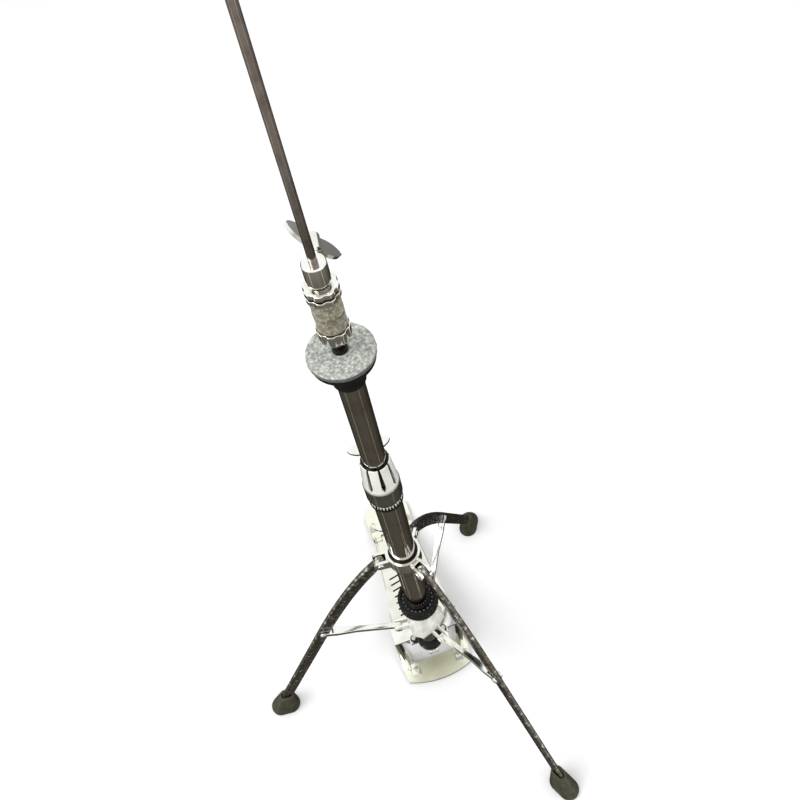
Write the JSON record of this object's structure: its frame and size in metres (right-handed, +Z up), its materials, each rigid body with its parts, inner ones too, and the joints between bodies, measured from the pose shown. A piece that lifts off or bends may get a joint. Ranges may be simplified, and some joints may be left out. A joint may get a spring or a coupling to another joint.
{
  "type": "hi-hat stand",
  "caption": "Tripod hi-hat stand with a foot pedal that pulls a sprung rod down through a telescopic column, a swivelling folding tripod and a cymbal clutch.",
  "frame": {"origin": "on the floor, under the column's axis", "axes": "+Z up along the column and the pull rod, +Y towards the player and the pedal's heel, +X to the right seen from the front (-Y)"},
  "size_m": [0.4118, 0.536, 1.13],
  "materials": {
    "base_steel": "bright chromed sheet steel",
    "chrome_bright": "bright chrome",
    "chrome_dark": "dark, slightly pitted chrome",
    "tube_chrome": "dark grey-brown chrome tube",
    "rod_steel": "polished steel rod, slightly browned",
    "zinc_steel": "zinc-plated steel",
    "board_metal": "smooth cast aluminium",
    "cast_metal": "chromed casting",
    "black_cast": "black enamel",
    "black_plastic": "black moulded nylon",
    "white_nylon": "natural nylon",
    "rubber_black": "black rubber",
    "rubber_olive": "olive-black rubber, soft sheen",
    "felt_grey": "light grey mottled pressed felt",
    "felt_taupe": "taupe pressed felt"
  },
  "bodies": {
    "frame": {"base_frame": "base_steel", "floor_pads": "rubber_black", "column_yoke": "chrome_bright", "yoke_bolts": "zinc_steel", "column_socket": "black_cast", "heel_plate": "board_metal", "radius_rods": "zinc_steel", "heel_hinge_pin": "zinc_steel", "bottom_bush": "white_nylon", "lower_tube": "tube_chrome", "hub_retainers": "chrome_bright", "dial_retainer": "black_cast", "height_clamp": "cast_metal", "clamp_band": "black_plastic", "clamp_bush": "white_nylon"},
    "pedal": {"footboard": "board_metal", "toe_bracket": "zinc_steel", "toe_pin": "zinc_steel"},
    "pull_rod": {"rod_clevis": "zinc_steel", "clevis_pin": "zinc_steel", "lower_rod": "rod_steel", "rod_coupler": "zinc_steel", "upper_rod": "rod_steel", "rod_collar": "zinc_steel"},
    "link": {"pull_link": "zinc_steel"},
    "spring_lift": {"spring_seat": "zinc_steel", "return_spring": "zinc_steel"},
    "dial": {"tension_dial": "black_plastic"},
    "tripod_hub": {"brace_hub": "cast_metal", "brace_pins": "zinc_steel"},
    "tripod_collar": {"leg_collar": "cast_metal", "collar_bush": "black_plastic", "leg_pins": "zinc_steel"},
    "collar_bolt": {"collar_wing_bolt": "cast_metal"},
    "clamp_bolt": {"clamp_wing_bolt": "cast_metal"},
    "upper_column": {"upper_tube": "tube_chrome", "seat_cup": "black_plastic", "seat_felt": "felt_grey", "seat_sleeve": "black_plastic"},
    "clutch": {"clutch_body": "cast_metal", "clutch_tube": "zinc_steel", "clutch_felts": "felt_taupe"},
    "clutch_bolt": {"clutch_wing_bolt": "cast_metal"},
    "top_nut": {"clutch_top_nut": "cast_metal"},
    "lock_nut": {"clutch_lock_nut": "cast_metal"},
    "bottom_nut": {"clutch_bottom_nut": "cast_metal"},
    "leg_front_body": {"leg_front": "chrome_dark", "foot_front": "rubber_olive"},
    "brace_front_body": {"brace_front": "chrome_bright", "rivet_front": "zinc_steel"},
    "leg_back_body": {"leg_back": "chrome_dark", "foot_back": "rubber_olive"},
    "brace_back_body": {"brace_back": "chrome_bright", "rivet_back": "zinc_steel"},
    "leg_left_body": {"leg_left": "chrome_dark", "foot_left": "rubber_olive"},
    "brace_left_body": {"brace_left": "chrome_bright", "rivet_left": "zinc_steel"}
  },
  "joints": [
    {"name": "pedal_hinge", "type": "hinge", "parent": "frame", "child": "pedal", "pos_m": [0, 0.226, 0.02], "axis": [1, 0, 0], "range_deg": [0, 3.3]},
    {"name": "rod_slide", "type": "slide", "parent": "frame", "child": "pull_rod", "axis": [0, 0, 1], "range_m": [-0.0134, 0], "stiffness_N_per_m": 3000, "springref_m": 0.012, "deforming": ["return_spring"]},
    {"name": "link_swing", "type": "hinge", "parent": "pull_rod", "child": "link", "pos_m": [0, 0, 0.112], "axis": [1, 0, 0], "range_deg": [-8, 0]},
    {"name": "dial_turn", "type": "hinge", "parent": "frame", "child": "dial", "pos_m": [0, 0, 0.289], "axis": [0, 0, 1], "range_deg": [-158, 558]},
    {"name": "spring_seat_lift", "type": "slide", "parent": "frame", "child": "spring_lift", "axis": [0, 0, 1], "range_m": [-0.002, 0.007]},
    {"name": "height_slide", "type": "slide", "parent": "frame", "child": "upper_column", "axis": [0, 0, 1], "range_m": [-0.12, 0.01]},
    {"name": "clamp_wing_turn", "type": "hinge", "parent": "frame", "child": "clamp_bolt", "pos_m": [0, 0, 0.592], "axis": [0, 1, 0], "continuous": true},
    {"name": "tripod_swivel", "type": "hinge", "parent": "frame", "child": "tripod_hub", "pos_m": [0, 0, 0.222], "axis": [0, 0, 1], "range_deg": [-65, 12]},
    {"name": "leg_fold", "type": "slide", "parent": "tripod_hub", "child": "tripod_collar", "axis": [0, 0, 1], "range_m": [0, 0.05]},
    {"name": "collar_wing_turn", "type": "hinge", "parent": "tripod_collar", "child": "collar_bolt", "pos_m": [0, 0, 0.436], "axis": [-0.0523, 0.9986, 0], "continuous": true},
    {"name": "clutch_slide", "type": "slide", "parent": "pull_rod", "child": "clutch", "axis": [0, 0, 1], "range_m": [0, 0.18]},
    {"name": "clutch_wing_turn", "type": "hinge", "parent": "clutch", "child": "clutch_bolt", "pos_m": [0, 0, 0.881], "axis": [0.1736, 0.9848, 0], "continuous": true},
    {"name": "top_nut_turn", "type": "hinge", "parent": "clutch", "child": "top_nut", "pos_m": [0, 0, 0.867], "axis": [0, 0, 1], "continuous": true},
    {"name": "lock_nut_turn", "type": "hinge", "parent": "clutch", "child": "lock_nut", "pos_m": [0, 0, 0.861], "axis": [0, 0, 1], "continuous": true},
    {"name": "bottom_nut_turn", "type": "hinge", "parent": "clutch", "child": "bottom_nut", "pos_m": [0, 0, 0.823], "axis": [0, 0, 1], "continuous": true},
    {"name": "leg_front_turn", "type": "hinge", "parent": "tripod_collar", "child": "leg_front_body", "pos_m": [0.01293, -0.02484, 0.43], "axis": [0.887, 0.4617, 0], "range_deg": [0, 8.6]},
    {"name": "brace_front_turn", "type": "hinge", "parent": "tripod_hub", "child": "brace_front_body", "pos_m": [0.01616, -0.03104, 0.2185], "axis": [0.887, 0.4617, 0], "range_deg": [-24.8, 0]},
    {"name": "leg_back_turn", "type": "hinge", "parent": "tripod_collar", "child": "leg_back_body", "pos_m": [0.01467, 0.02385, 0.43], "axis": [-0.8517, 0.524, 0], "range_deg": [0, 8.6]},
    {"name": "brace_back_turn", "type": "hinge", "parent": "tripod_hub", "child": "brace_back_body", "pos_m": [0.01834, 0.02981, 0.2185], "axis": [-0.8517, 0.524, 0], "range_deg": [-24.8, 0]},
    {"name": "leg_left_turn", "type": "hinge", "parent": "tripod_collar", "child": "leg_left_body", "pos_m": [-0.02787, 0.00268, 0.43], "axis": [-0.0958, -0.9954, 0], "range_deg": [0, 8.6]},
    {"name": "brace_left_turn", "type": "hinge", "parent": "tripod_hub", "child": "brace_left_body", "pos_m": [-0.03484, 0.00335, 0.2185], "axis": [-0.0958, -0.9954, 0], "range_deg": [-24.8, 0]}
  ],
  "couplings": [
    {"joint": "rod_slide", "follows": "pedal_hinge", "m_per_rad": -0.2303},
    {"joint": "link_swing", "follows": "pedal_hinge", "ratio": -2.33},
    {"joint": "spring_seat_lift", "follows": "dial_turn", "m_per_rad": 0.0007162},
    {"joint": "leg_front_turn", "follows": "leg_fold", "rad_per_m": 2.9932},
    {"joint": "brace_front_turn", "follows": "leg_fold", "rad_per_m": -8.6334},
    {"joint": "leg_back_turn", "follows": "leg_fold", "rad_per_m": 2.9932},
    {"joint": "brace_back_turn", "follows": "leg_fold", "rad_per_m": -8.6334},
    {"joint": "leg_left_turn", "follows": "leg_fold", "rad_per_m": 2.9932},
    {"joint": "brace_left_turn", "follows": "leg_fold", "rad_per_m": -8.6334}
  ]
}
